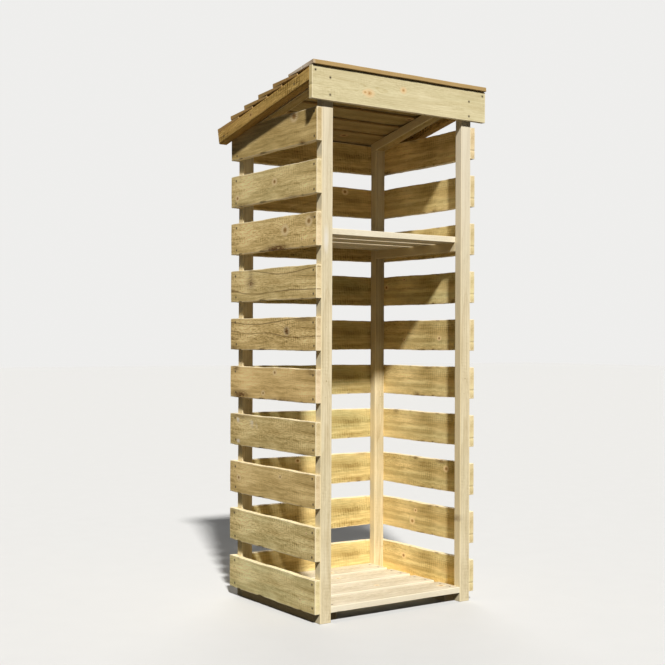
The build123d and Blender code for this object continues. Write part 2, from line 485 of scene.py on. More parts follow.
    def _bump(self) -> bpy.types.Node:
        """Adds relief of under a millimetre: late wood sunk, and fibres, fur and saw marks raised.

        Returns:
            The direction that each spot faces.
        """
        height = self.add("Math", {0: self.band, 1: -0.10}, operation="MULTIPLY")
        for mark, rise in ((self.fibre, 0.22), (self.fuzz, 0.5 * self.pine.fuzz),
                           (self.saw, 0.18 * self.pine.saw)):
            height = self.add("Math", {0: mark, 1: rise, 2: height}, operation="MULTIPLY_ADD")
        return self.add("Bump", {"Height": height, "Distance": MM, "Strength": 0.8})

    def _veins(self) -> Iterator[Cover]:
        """Adds the strong growth lines, sharp on one side and fading on the other.

        Yields:
            Each line.
        """
        for slot in range(1, VEIN_SLOTS + 1):
            away = self.add("Attribute", attribute_name=f"vein_{slot}").outputs["Fac"]
            below = self.add("MapRange", {"Value": away, "From Min": -6.0 * MM, "From Max": 0.0},
                             interpolation_type="SMOOTHSTEP")
            above = self.add("MapRange", {"Value": away, "From Min": 1.6 * MM, "From Max": 0.4 * MM})
            line = self.add("Math", {0: below, 1: above}, operation="MULTIPLY")
            # The long streaks let the lines come and go
            for share in (line, self.streak):
                line = self.add("Math", {0: line, 1: share}, operation="MULTIPLY")
            line = self.add("Math", {0: line, 1: 1.25}, operation="MULTIPLY", use_clamp=True)
            yield line, self.pine.vein

    def _knot_layers(self) -> Iterator[Cover]:
        """Adds the knots: a pale halo, a warm body and a dark middle.

        Yields:
            Each layer of each knot.
        """
        # Each layer's outer and inner reach, in knot radii, and its colour
        layers = ((2.3, 1.1, self.pine.halo), (1.05, 0.6, self.pine.knot_body), (0.5, 0.15, self.pine.knot))
        for distance, _ in self.knots:
            for outside, inside, colour in layers:
                layer = self.add("MapRange", {"Value": distance, "From Min": outside, "From Max": inside,
                                              "To Max": 0.80}, interpolation_type="SMOOTHSTEP")
                yield layer, colour

    def _pale_edges_and_highlights(self) -> Iterator[Cover]:
        """Adds the pale wood beside each arris, partly crushed by handling and partly painted highlight, and
        a painted highlight on the narrow faces.

        Yields:
            The pale wood and painted highlight along the arrises, then the painted highlight on the narrow
            faces.
        """
        beside = self.add("Attribute", attribute_name="arris").outputs["Fac"]
        # Pale wood along each arris: partly fibres crushed by handling, partly a painted highlight
        pale = self.add("MapRange", {"Value": beside, "From Min": 3.2 * MM, "From Max": 0.8 * MM,
                                     "To Max": 1.5})
        pale = self.add("Math", {0: pale, 1: self.fibre}, operation="MULTIPLY", use_clamp=True)
        yield pale, self.pine.arris_pale_and_highlight
        # Painted highlight: every narrow face is paled all along with the arrises' colour
        brim = self.add("Attribute", attribute_name="brim").outputs["Fac"]
        brim = self.add("MapRange", {"Value": brim, "From Min": 1.4 * MM, "From Max": 0.3 * MM,
                                     "To Max": 0.6})
        yield brim, self.pine.arris_pale_and_highlight

    def _bark(self) -> Iterator[Cover]:
        """Adds the pale scuffs, and the brown of chips and stains, where inner bark and torn wood show.

        Yields:
            The scuffs, then the bark.
        """
        bark = self.add("Attribute", attribute_name="bark").outputs["Fac"]
        scuff = self.add("Math", {0: bark, 1: -1.0}, operation="MULTIPLY", use_clamp=True)
        yield scuff, self.pine.scuff
        patch = self.add("MapRange", {"Value": self.tufts, "From Min": 0.35, "From Max": 0.6, "To Min": 0.5,
                                      "To Max": 1.6})
        bark = self.add("Math", {0: bark, 1: patch}, operation="MULTIPLY", use_clamp=True)
        yield bark, self.pine.inner_bark

    def _nail_stain(self) -> Iterator[Cover]:
        """Adds the dark wood round each nail, where damp has drawn the iron out.

        Yields:
            The stain.
        """
        beside = self.add("Attribute", attribute_name="nail").outputs["Fac"]
        stain = self.add("MapRange", {"Value": beside, "From Min": 6.0 * MM, "From Max": 2.2 * MM,
                                      "To Max": 0.65}, interpolation_type="SMOOTHSTEP")
        yield stain, self.pine.iron_stain


@dataclass(frozen=True)
class GalvanisedSteel:
    """Hot-dipped wire nails: dull grey zinc with a rough skin, browned where the head was struck."""

    name: str = "galvanised_nail_steel"
    zinc: str = "#42372B"
    rust: str = "#2E2015"
    roughness: float = 0.75
    # Zinc crystals and rust blots are near 1 mm across
    blots_per_metre: float = 1000.0

    def material(self) -> bpy.types.Material:
        """Builds the material of the nail heads.

        Returns:
            The material.
        """
        material = bpy.data.materials.new(self.name)
        tree = bare_tree(material)
        place = add(tree, "TexCoord").outputs["Object"]
        blot = add(tree, "TexNoise", {"Vector": place, "Scale": self.blots_per_metre, "Detail": 2.0})
        rust = add(tree, "MapRange", {"Value": blot, "From Min": 0.4, "From Max": 0.6})
        colour = add(tree, "Mix", {0: rust, 6: linear(self.zinc), 7: linear(self.rust)}, data_type="RGBA")
        bump = add(tree, "Bump", {"Height": blot, "Distance": 0.1 * MM})
        shader = add(tree, "BsdfPrincipled", {
            "Base Color": colour, "Metallic": 0.2, "Roughness": self.roughness, "Normal": bump})
        add(tree, "OutputMaterial", {"Surface": shader})
        return material


def ripple(place: np.ndarray, rng: np.random.Generator, waves_mm: tuple[float, ...]) -> np.ndarray:
    """Makes a smooth, uneven line from a few waves.

    Args:
        place: where the line is wanted, in millimetres.
        rng: the board's own chance.
        waves_mm: the lengths of the waves, the longest first.

    Returns:
        A value from 0 to 1 for each place.
    """
    total, weight = np.zeros_like(place, dtype=float), 0.0
    for rank, wave in enumerate(waves_mm):
        share = 1.0 / (1 + rank)
        total = total + share * np.sin(2 * math.pi * (place / wave + rng.random()))
        weight += share
    return 0.5 + 0.5 * total / weight


def near(place: np.ndarray, reach: float) -> np.ndarray:
    """Returns a smooth hump: 1 where the distance is 0, and 0 from reach on."""
    share = np.clip(1 - np.abs(place) / reach, 0, 1)
    return share * share * (3 - 2 * share)


@dataclass(frozen=True)
class Cut:
    """One board's own marks: the face it is nailed from, and its nails, knots, veins, stains and tone."""

    face: Face = Face.HIGH
    nails: tuple[tuple[float, float], ...] = ()
    knots: tuple[Knot, ...] = ()
    veins: tuple[Vein, ...] = ()
    stains: tuple[Stain, ...] = ()
    tone: Tone = Tone()
    splits: bool = True


class Board:
    """One solid of timber as a fine mesh inside the solid's own eight corners.

    A lattice of lines is laid over the block. Its outer points are drawn in to round the arrises, more where
    the board is chipped or waney, and to let its edges wander. Nothing reaches outside the block.
    """

    STEP_ALONG_MM = 9.0
    STEP_ACROSS_MM = 13.0
    # The outer lines lie where they cut a rounded arris into equal arcs
    ARRIS_SHARES = (0.0, 0.586, 1.0)
    END_ROUND_MM = 0.7
    LEAST_ARRIS_MM = 0.35
    # Lattice lines stay this far from an arris's own lines, and from each other
    EDGE_CLEAR_MM = 0.5
    LINE_CLEAR_MM = 0.3
    # A thinner board has one line between its wide faces, a thicker one two
    THICK_MM = 22.0
    CHIP_REACH_MM = (7, 20)
    # A struck nail pulls the wood in round its head
    DIMPLE_MM = 0.7
    DIMPLE_REACH_MM = 4.4
    HEAD_LINES_MM = (-4.4, -2.2, 0.0, 2.2, 4.4)
    # Drying splits the ends: a groove runs in along the grain, and notches the end itself
    SPLIT_CHANCE = 0.6
    SPLIT_REACH_MM = (12, 46)
    SPLIT_LINES_MM = (-0.7, 0.0, 0.7)
    SPLIT_HALF_MM = 0.6
    SPLIT_DEPTH_MM = 1.3
    NOTCH_MM = 2.0
    # An end's unevenness dies out this far in
    END_REACH_MM = 12.0
    # Brown bark shows this far from a chip
    BARK_REACH_MM = 8.0
    # The boards' grain starts up to this many metres apart, so that no two show the same figure
    GRAIN_APART = 20
    # How far the heart of the log lies from a board's face. Further out, the rings look flatter
    HEART_MM = (18, 80)
    # Where a mark is absent, its distance is beyond all that the finish shows
    NO_NAIL_MM = 20.0
    NO_VEIN_MM = 500.0
    NO_KNOT = Knot(-9000.0, -9000.0, 0.1)

    def __init__(self, corners: np.ndarray, lie: Lie, wear: Wear, cut: Cut, name: str) -> None:
        """Orders the corners and sets the lattice out.

        Args:
            corners: the solid's eight corners, in metres.
            lie: how the timber lies.
            wear: what was done to it.
            cut: its own marks.
            name: seeds the board's chance, so each run gives the same board.
        """
        self.wear, self.cut = wear, cut
        self.rng = np.random.default_rng(int.from_bytes(name.encode(), "little") % 2**32)
        self.corners = self._ordered(corners, lie)
        spans = [np.diff(self.corners, axis=axis) for axis in range(3)]
        self.length, self.width, _ = (float(np.linalg.norm(span, axis=-1).mean()) / MM for span in spans)
        self.thickness = np.linalg.norm(spans[2], axis=-1)[:, :, 0] / MM
        directions = [span.reshape(-1, 3).mean(axis=0) for span in spans]
        self.right_handed = float(np.linalg.det(np.array(directions))) > 0
        self._set_out()

    @staticmethod
    def _ordered(corners: np.ndarray, lie: Lie) -> np.ndarray:
        """Sorts eight corners by the board's own directions.

        Args:
            corners: the corners in any order.
            lie: how the timber lies.

        Returns:
            The corners by low or high place along, across and through.
        """
        along, across, through = lie.value
        ordered = np.empty((2, 2, 2, 3))
        by_length = corners[np.argsort(corners[:, along])]
        for i, end in enumerate((by_length[:4], by_length[4:])):
            by_width = end[np.argsort(end[:, across])]
            for j, pair in enumerate((by_width[:2], by_width[2:])):
                ordered[i, j] = pair[np.argsort(pair[:, through])]
        return ordered

    def _inner_lines(self, length: float, edge: float, step: float, wanted: list[float]) -> list[float]:
        """Spreads lattice lines over the flat between two arrises.

        Args:
            length: the board's size that way.
            edge: how far in the arrises' own lines reach.
            step: the usual distance between lines.
            wanted: places that must have a line.

        Returns:
            The places, in order.
        """
        low, high = edge + self.EDGE_CLEAR_MM, length - edge - self.EDGE_CLEAR_MM
        kept: list[float] = [low]
        for place in sorted(wanted):
            if kept[-1] + self.LINE_CLEAR_MM < place < high - self.LINE_CLEAR_MM:
                kept.append(place)
        kept.append(high)
        count = max(2, round((high - low) / step) + 1)
        even = [place for place in np.linspace(low, high, count)[1:-1]
                if min(abs(place - line) for line in kept) > 0.25 * step]
        return sorted(kept + even)

    def _set_out(self) -> None:
        """Chooses splits, arris radii and the lattice's lines."""
        rng, wear = self.rng, self.wear
        self.splits = []
        for end in (0, 1):
            if self.cut.splits and rng.random() < self.SPLIT_CHANCE:
                middle = rng.uniform(0.2, 0.8) * self.width
                self.splits.append((end, middle, rng.uniform(*self.SPLIT_REACH_MM)))
        marks = [nail[0] + line for nail in self.cut.nails for line in self.HEAD_LINES_MM]
        inner = self._inner_lines(self.length, self.END_ROUND_MM, self.STEP_ALONG_MM, marks)
        shares = np.array(self.ARRIS_SHARES)
        first = shares * self.END_ROUND_MM
        self.along = np.concatenate([first, inner, (self.length - first)[::-1]])

        self.radius = np.empty((2, 2, len(self.along)))
        self.chipped = np.zeros_like(self.radius)
        for number, (j, k) in enumerate(((0, 0), (0, 1), (1, 0), (1, 1))):
            line = wear.arris + wear.arris_play * (2 * ripple(self.along, rng, (230.0, 83.0, 31.0)) - 1)
            line += wear.wane[number] * (0.5 + 0.5 * ripple(self.along, rng, (620.0, 260.0, 90.0)))
            for _ in range(rng.poisson(wear.chips_per_metre * self.length * MM)):
                reach = rng.uniform(*self.CHIP_REACH_MM)
                depth = rng.uniform(0.3, 1.0)
                chip = depth * near(self.along - rng.uniform(0, self.length), reach)
                line += wear.chip * chip
                self.chipped[j, k] = np.maximum(self.chipped[j, k], chip)
            self.radius[j, k] = np.maximum(line, self.LEAST_ARRIS_MM)

        across = [nail[1] + line for nail in self.cut.nails for line in self.HEAD_LINES_MM]
        across += [split[1] + line for split in self.splits for line in self.SPLIT_LINES_MM]
        edge = min(float(self.radius.max()), 0.3 * self.width)
        self.across = self._inner_lines(self.width, edge, self.STEP_ACROSS_MM, across)
        self.through = [0.5] if float(self.thickness.mean()) < self.THICK_MM else [0.35, 0.65]

    def _lattice(self) -> tuple[np.ndarray, ...]:
        """Lays the lattice over the square block.

        Returns:
            Place along, across and through, the local thickness and the arris radius, each by lattice line.
        """
        shares = np.array(self.ARRIS_SHARES)
        edges = len(shares)
        count = (len(self.along), len(self.across) + 2 * edges, len(self.through) + 2 * edges)
        high_j = (np.arange(count[1]) >= count[1] / 2).astype(int)
        high_k = (np.arange(count[2]) >= count[2] / 2).astype(int)
        radius = np.transpose(self.radius[high_j[:, None], high_k[None, :], :], (2, 0, 1)).copy()
        radius = np.minimum(radius, 0.32 * self.width)
        x = np.broadcast_to(self.along[:, None, None], count).copy()
        y = np.empty(count)
        y[:, edges:-edges, :] = np.array(self.across)[None, :, None]
        for line, share in enumerate(shares):
            y[:, line, :] = share * radius[:, line, :]
            y[:, -1 - line, :] = self.width - share * radius[:, -1 - line, :]
        s, t = x / self.length, y / self.width
        thick = ((1 - s) * (1 - t) * self.thickness[0, 0] + (1 - s) * t * self.thickness[0, 1]
                 + s * (1 - t) * self.thickness[1, 0] + s * t * self.thickness[1, 1])
        radius = np.minimum(radius, 0.4 * thick)
        z = np.empty(count)
        for line, share in enumerate(self.through):
            z[:, :, edges + line] = share * thick[:, :, edges + line]
        for line, share in enumerate(shares):
            z[:, :, line] = share * radius[:, :, line]
            z[:, :, -1 - line] = thick[:, :, -1 - line] - share * radius[:, :, -1 - line]
        return x, y, z, thick, radius

    def _worn(self, x: np.ndarray, y: np.ndarray, z: np.ndarray, thick: np.ndarray,
              radius: np.ndarray) -> tuple[np.ndarray, np.ndarray, np.ndarray]:
        """Rounds the arrises and draws edges, faces, ends, splits and nail dimples in.

        Args:
            x: place along, in millimetres.
            y: place across.
            z: place through.
            thick: the local thickness.
            radius: the local arris radius.

        Returns:
            The three places after wear.
        """
        rng, wear, length, width = self.rng, self.wear, self.length, self.width
        place = np.stack([x, y, z], axis=-1)
        size = np.stack([np.full_like(x, length), np.full_like(x, width), thick], axis=-1)
        ease = np.stack([np.full_like(x, self.END_ROUND_MM), radius, radius], axis=-1)
        core = np.clip(place, ease, size - ease)
        off = (place - core) / ease
        reach = np.linalg.norm(off, axis=-1, keepdims=True)
        place = core + np.where(reach > 0, off / np.maximum(reach, 1e-9), 0) * ease
        new_x, new_y, new_z = place[..., 0], place[..., 1], place[..., 2]

        low = wear.edge_wander * ripple(x, rng, (310.0, 120.0, 44.0))
        high = wear.edge_wander * ripple(x, rng, (270.0, 101.0, 39.0))
        new_y = new_y + low * (1 - new_y / width) - high * new_y / width
        under = wear.face_wander * ripple(x + 2.1 * y, rng, (260.0, 97.0))
        over = wear.face_wander * ripple(x - 1.7 * y, rng, (240.0, 88.0))
        head = np.zeros_like(x)
        for along, across in self.cut.nails:
            head = np.maximum(head, near(np.hypot(x - along, y - across), self.DIMPLE_REACH_MM))
        groove = np.zeros_like(x)
        notch = np.zeros_like(x)
        for end, across, reach_mm in self.splits:
            from_end = x if end == 0 else length - x
            line = near(y - across, self.SPLIT_HALF_MM)
            groove = np.maximum(groove, line * near(from_end, reach_mm))
            notch = np.maximum(notch, line * near(from_end, self.NOTCH_MM))
        under = under + self.SPLIT_DEPTH_MM * groove
        over = over + self.SPLIT_DEPTH_MM * groove
        if self.cut.face is Face.LOW:
            under = under + self.DIMPLE_MM * head
        else:
            over = over + self.DIMPLE_MM * head
        share = new_z / thick
        new_z = new_z + under * (1 - share) - over * share
        ragged = wear.end_wander * ripple(y + 0.6 * z, rng, (90.0, 31.0, 13.0)) + self.NOTCH_MM * notch
        low_end, high_end = near(x, self.END_REACH_MM), near(length - x, self.END_REACH_MM)
        new_x = new_x + ragged * low_end - ragged[::-1] * high_end
        return new_x, new_y, new_z

    def _spread(self, s: np.ndarray, t: np.ndarray, r: np.ndarray) -> np.ndarray:
        """Carries shares of the block to places between its eight corners.

        Args:
            s: share along, from 0 to 1.
            t: share across.
            r: share through.

        Returns:
            The places in the model's frame, in metres.
        """
        s, t, r = (np.clip(share, 0, 1)[..., None] for share in (s, t, r))
        total = 0
        for i, along in enumerate((1 - s, s)):
            for j, across in enumerate((1 - t, t)):
                for k, through in enumerate((1 - r, r)):
                    total = total + along * across * through * self.corners[i, j, k]
        return total

    def place(self, along: float, across: float, sunk: float) -> tuple[np.ndarray, np.ndarray]:
        """Finds a point on the nailed face.

        Args:
            along: place along, in millimetres.
            across: place across.
            sunk: depth below the face.

        Returns:
            The point in metres, and the face's outward direction.
        """
        s, t = np.array(along / self.length), np.array(across / self.width)
        low, high = self._spread(s, t, np.array(0.0)), self._spread(s, t, np.array(1.0))
        face, back = (low, high) if self.cut.face is Face.LOW else (high, low)
        outward = (face - back) / np.linalg.norm(face - back)
        return face - outward * sunk * MM, outward

    def build(self) -> dict[str, np.ndarray]:
        """Works the mesh out.

        Returns:
            Points, quads, whether each quad is end grain, and the values that the finish reads at each point.
        """
        x, y, z, thick, radius = self._lattice()
        new_x, new_y, new_z = self._worn(x, y, z, thick, radius)
        points = self._spread(new_x / self.length, new_y / self.width, new_z / thick)
        count = x.shape
        outer = np.zeros(count, bool)
        for axis in range(3):
            for side in (0, -1):
                outer[tuple(side if a == axis else slice(None) for a in range(3))] = True
        number = np.full(count, -1)
        number[outer] = np.arange(outer.sum())
        quads, ends = [], []
        for axis in range(3):
            # The sheet's own two directions follow the axis in turn, which sets which way round a quad goes
            grid = np.transpose(number, (axis, (axis + 1) % 3, (axis + 2) % 3))
            for side in (0, -1):
                sheet = grid[side]
                around = [sheet[:-1, :-1], sheet[:-1, 1:], sheet[1:, 1:], sheet[1:, :-1]]
                if (side == -1) == self.right_handed:
                    around.reverse()
                found = np.stack(around, axis=-1).reshape(-1, 4)
                quads.append(found)
                ends.append(np.full(len(found), axis == 0))
        return {
            "points": points[outer], "quads": np.concatenate(quads), "ends": np.concatenate(ends),
            **self._marks(x[outer], y[outer], z[outer], thick[outer])}

    def _marks(self, x: np.ndarray, y: np.ndarray, z: np.ndarray, thick: np.ndarray) -> dict[str, np.ndarray]:
        """Works out what the finish reads at each point.

        Args:
            x: place along, in millimetres.
            y: place across.
            z: place through.
            thick: the local thickness.

        Returns:
            The values by name, lengths in metres.
        """
        rng, tone = self.rng, self.cut.tone
        grain = np.stack([x, y, z], axis=-1) * MM + rng.uniform(0, self.GRAIN_APART, 3)
        side = 1 if rng.random() < 0.5 else -1
        pith_y = self.width * rng.uniform(0.2, 0.8) + rng.uniform(-0.05, 0.05) * (x - self.length / 2)
        pith_z = side * rng.uniform(*self.HEART_MM) + rng.uniform(-0.07, 0.07) * (x - self.length / 2)
        heart = np.stack([y - pith_y, z - pith_z, np.zeros_like(x)], axis=-1) * MM
        faces = np.sort(np.stack([np.minimum(x, self.length - x), np.minimum(y, self.width - y),
                                  np.minimum(z, thick - z)], axis=-1), axis=-1)
        nail = np.full_like(x, self.NO_NAIL_MM)
        on_face = z < thick / 2 if self.cut.face is Face.LOW else z > thick / 2
        for along, across in self.cut.nails:
            nail = np.where(on_face, np.minimum(nail, np.hypot(x - along, y - across)), nail)
        beside_y, beside_z = np.minimum(y, self.width - y), np.minimum(z, thick - z)
        bark = np.zeros_like(x)
        for j, k in ((0, 0), (0, 1), (1, 0), (1, 1)):
            nearest = ((y > self.width / 2) == j) & ((z > thick / 2) == k)
            beside = near(np.hypot(beside_y, beside_z), self.BARK_REACH_MM)
            chipped = np.interp(x, self.along, self.chipped[j, k]) * beside
            bark = np.where(nearest, self.wear.bark * chipped, bark)
        for stain in self.cut.stains:
            away = np.hypot((x - stain.along) / stain.length, (y - stain.across) / stain.height)
            blot = stain.strength * near(away, 1.0)
            bark = np.where(np.abs(blot) > np.abs(bark), blot, bark)
        marks = {
            "grain": grain, "heart": heart, "arris": faces[:, 1] * MM, "nail": nail * MM,
            "brim": beside_y * MM, "bark": bark, "fur": np.full_like(x, tone.fur),
            "tone": np.broadcast_to([tone.light, tone.green, tone.figure], heart.shape)}
        for number in range(KNOT_SLOTS):
            knot = self.cut.knots[number] if number < len(self.cut.knots) else self.NO_KNOT
            oval = [(x - knot.along) / knot.stretch, y - knot.across, np.full_like(x, knot.radius)]
            marks[f"knot_{number + 1}"] = np.stack(oval, axis=-1) * MM
        for number in range(VEIN_SLOTS):
            away = np.full_like(x, self.NO_VEIN_MM)
            if number < len(self.cut.veins):
                away = self.cut.veins[number].offset(x, y)
            marks[f"vein_{number + 1}"] = away * MM
        return marks


def corners_of(node: str) -> list[np.ndarray]:
    """Reads the corners of each solid of a node, from the lowest end up, left to right and front to back.

    Args:
        node: the node's name.

    Returns:
        Eight corners for each solid.
    """
    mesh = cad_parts[node].data
    raw = np.array([vertex.co for vertex in mesh.vertices])
    points, same = np.unique(np.round(raw, 6), axis=0, return_inverse=True)
    same = same.reshape(-1)
    group = np.arange(len(points))
    for polygon in mesh.polygons:
        found = sorted({int(group[same[v]]) for v in polygon.vertices})
        for other in found[1:]:
            group[group == other] = found[0]
    solids = [points[group == label] for label in np.unique(group)]
    if any(len(solid) != 8 for solid in solids):
        raise ValueError(f"{node} has a solid that isn't a block of eight corners")
    return sorted(solids, key=lambda solid: tuple(np.round(solid.mean(axis=0), 4)[[2, 1, 0]]))


@dataclass
class NailHeads:
    """Round wire-nail heads, driven a little below the wood."""

    across_mm: float = 4.4
    sunk_mm: float = 0.38
    dome_mm: float = 0.36
    sides: int = 14
    # Each ring's share of the radius and its height over the rim
    rings: tuple[tuple[float, float], ...] = ((0.35, 0.34), (0.75, 0.26), (0.96, 0.10), (1.0, -0.6))
    points: list = field(default_factory=list)
    quads: list = field(default_factory=list)

    def drive(self, board: Board) -> None:
        """Adds the heads of all of a board's nails.

        Args:
            board: the board, with its nails.
        """
        for along, across in board.cut.nails:
            place, outward = board.place(along, across, self.sunk_mm)
            self._head(Vector(place), Vector(outward))

    def _head(self, place: Vector, outward: Vector) -> None:
        """Adds one head.

        Args:
            place: the middle of the rim's top.
            outward: the way that the head faces.
        """
        turn = outward.to_track_quat("Z", "X").to_matrix()
        first = len(self.points)
        self.points.append(place + outward * self.dome_mm * MM)
        for share, height in self.rings:
            for step in range(self.sides):
                angle = 2 * math.pi * step / self.sides
                flat = Vector((math.cos(angle), math.sin(angle), 0)) * share * self.across_mm / 2
                self.points.append(place + turn @ (flat + Vector((0, 0, height))) * MM)
        for step in range(self.sides):
            following = (step + 1) % self.sides
            self.quads.append((first, first + 1 + step, first + 1 + following))
            for ring in range(len(self.rings) - 1):
                inner = first + 1 + ring * self.sides
                outer = inner + self.sides
                self.quads.append((inner + step, outer + step, outer + following, inner + following))
        last = first + 1 + (len(self.rings) - 1) * self.sides
        self.quads.append(tuple(last + step for step in reversed(range(self.sides))))

    def piece(self, name: str, steel: bpy.types.Material) -> bpy.types.Object:
        """Makes the heads one piece.

        Args:
            name: the piece's name.
            steel: their material.

        Returns:
            The piece.
        """
        mesh = bpy.data.meshes.new(name)
        mesh.from_pydata([tuple(point) for point in self.points], [], self.quads)
        mesh.shade_smooth()
        mesh.materials.append(steel)
        piece = put_in_scene(name, mesh)
        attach(piece, "root")
        return piece


class Workshop:
    """Makes the finishes once, and turns a node's solids into finished boards."""

    def __init__(self) -> None:
        """Makes the nail steel; a wood finish is made when the first board needs it."""
        self.steel = GalvanisedSteel().material()
        self.made: dict[str, tuple[bpy.types.Material, bpy.types.Material]] = {}

    def finish(self, pine: TreatedPine) -> tuple[bpy.types.Material, bpy.types.Material]:
        """Returns a finish's two materials, for long grain and end grain."""
        if pine.name not in self.made:
            self.made[pine.name] = (pine.face(), pine.end())
        return self.made[pine.name]

    def dress(self, node: str, lie: Lie, wear: Wear, pine: TreatedPine, cuts: list[Cut],
              nails: NailHeads | None = None) -> bpy.types.Object:
        """Makes a node's finished timber, which stands for the node.

        Args:
            node: the node's name.
            lie: how its boards lie.
            wear: what was done to them.
            pine: their finish.
            cuts: each board's own marks.
            nails: where the heads of its nails go.

        Returns:
            The piece.
        """
        built = []
        for number, (corners, cut) in enumerate(zip(corners_of(node), cuts, strict=True)):
            board = Board(corners, lie, wear, cut, f"{node}_{number}")
            built.append(board.build())
            if nails is not None:
                nails.drive(board)
        starts = np.cumsum([0] + [len(part["points"]) for part in built[:-1]])
        quads = np.concatenate([part["quads"] + start for part, start in zip(built, starts)])
        mesh = bpy.data.meshes.new(f"{node}_timber")
        mesh.from_pydata(np.concatenate([part["points"] for part in built]).tolist(), [], quads.tolist())
        for names, kind, reads in ((VECTOR_MARKS, "FLOAT_VECTOR", "vector"),
                                   (NUMBER_MARKS, "FLOAT", "value")):
            for name in names:
                values = np.concatenate([part[name] for part in built]).astype(np.float32)
                mesh.attributes.new(name, kind, "POINT").data.foreach_set(reads, values.ravel())
        for material in self.finish(pine):
            mesh.materials.append(material)
        ends = np.concatenate([part["ends"] for part in built]).astype(np.int32)
        mesh.polygons.foreach_set("material_index", ends)
        mesh.shade_smooth()
        piece = put_in_scene(f"{node}_timber", mesh)
        piece.modifiers.new("even_normals", "WEIGHTED_NORMAL").mode = "FACE_AREA"
        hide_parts(node)
        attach(piece, "root")
        log.info("%s: %d boards, %d faces", node, len(built), len(quads))
        return piece


@dataclass
class Posts:
    """Four posts of planed batten, paler and smoother than the slats."""

    length_mm: float = 1550.0
    width_mm: float = 38.0
    # How far down from its top a post has weathered
    weathered_mm: float = 900.0
    wear: Wear = Wear(arris=1.6, chip=1.0, chips_per_metre=2.0, edge_wander=0.3, face_wander=0.3,
                      end_wander=0.3)
    pine: TreatedPine = TreatedPine(
        "planed_treated_pine_posts", early="#E3D3B0", late="#BCA274", green="#CDC6A4", knot="#E8E2D6",
        knot_body="#E8E2D6", halo="#E8E0CE", scuff="#E8E0CE", arris_pale_and_highlight="#EDDDB4", ring_mm=5.0,
        streak_mm=(700.0, 4.5, 6.0), streak=0.30, mottle=0.20, fibre=0.20, fuzz=0.12, torn=0.2, saw=0.2)

    def build(self, shop: Workshop) -> None:
        """Builds the four posts.

        Args:
            shop: makes the boards.
        """
        smudges = (Stain(257.0, 0.0, 12.0, 5.0, 0.5), Stain(1148.0, 0.0, 24.0, 26.0, 0.25))
        # The posts' tops have weathered paler and greyer than their feet
        for node, light, top, knots, stains in (
                ("front_left_post", 1.0, 0.35, (Knot(1095.0, 16.0, 5.0, 4.5),), ()),
                ("front_right_post", 0.99, 0.65, (), smudges),
                # The back posts are darker: painted shade of the store's inside
                ("back_left_post", 0.90, 0.2, (), ()),
                ("back_right_post", 0.88, 0.2, (), ())):
            weathered = Stain(self.length_mm, self.width_mm / 2, self.weathered_mm, self.weathered_mm, -top)
            cut = Cut(knots=knots, stains=(weathered, *stains), tone=Tone(light=light), splits=False)
            shop.dress(node, Lie.UPRIGHT, self.wear, self.pine, [cut])


@dataclass
class Slats:
    """What all slats share: rough sawn boards, whose nails, knots, stains and tones differ by chance."""

    length_mm: float = 489.0
    width_mm: float = 100.0
    nail_edge_mm: float = 15.0
    count: int = 10
    wear: Wear = Wear(arris=1.3, arris_play=0.8, chip=3.2, chips_per_metre=8.0, edge_wander=2.2,
                      face_wander=0.35, end_wander=1.0, bark=0.8)
    pine: TreatedPine = TreatedPine("sawn_treated_pine_slats")

    # Painted light: the lower slats, which the key lamp lights inside the store, take more of the green cast,
    # so that they look pale like strongly lit wood instead of glowing orange
    LIT_SLATS = 7
    LIT_SLAT_GREEN = 0.4

    def _nails(self, rng: np.random.Generator, ends: tuple[float, float]) -> tuple[tuple[float, float], ...]:
        """Draws a slat's four nails, each a little off its mark.

        Args:
            rng: the sub-assembly's chance.
            ends: the nails' marks along the slat.

        Returns:
            Each nail's place along and across.
        """
        return tuple((along + rng.uniform(-4, 4), across + rng.uniform(-3, 3)) for along in ends
                     for across in (self.nail_edge_mm, self.width_mm - self.nail_edge_mm))

    def _knots(self, rng: np.random.Generator, first: float, last: float) -> tuple[Knot, ...]:
        """Draws up to two knots.

        Args:
            rng: the sub-assembly's chance.
            first: the least place along the slat.
            last: the greatest place along it.

        Returns:
            The knots.
        """
        return tuple(Knot(rng.uniform(first, last), rng.uniform(12, self.width_mm - 12), rng.uniform(3, 7))
                     for _ in range(rng.integers(0, 3)))

    def _stains(self, rng: np.random.Generator) -> tuple[Stain, ...]:
        """Draws up to three brown blots along a slat's edges.

        Args:
            rng: the sub-assembly's chance.

        Returns:
            The stains.
        """
        return tuple(
            Stain(rng.uniform(20, self.length_mm - 20), rng.choice((4.0, self.width_mm - 4.0)),
                  rng.uniform(15, 60), rng.uniform(8, 20), rng.uniform(0.3, 0.7))
            for _ in range(rng.integers(0, 4)))

    def _tone(self, rng: np.random.Generator, light: tuple[float, float], number: int) -> Tone:
        """Draws a slat's tone.

        Args:
            rng: the sub-assembly's chance.
            light: the darkest and the lightest that the slat may be.
            number: its number from the ground up, from 1.

        Returns:
            The tone.
        """
        # Painted light: the lower slats, lit inside the store, get extra green
        lit_green = self.LIT_SLAT_GREEN if number <= self.LIT_SLATS else 0.0
        return Tone(rng.uniform(*light), lit_green + rng.uniform(0.1, 0.6), rng.uniform(0.7, 1.2),
                    rng.uniform(0.4, 1.2))


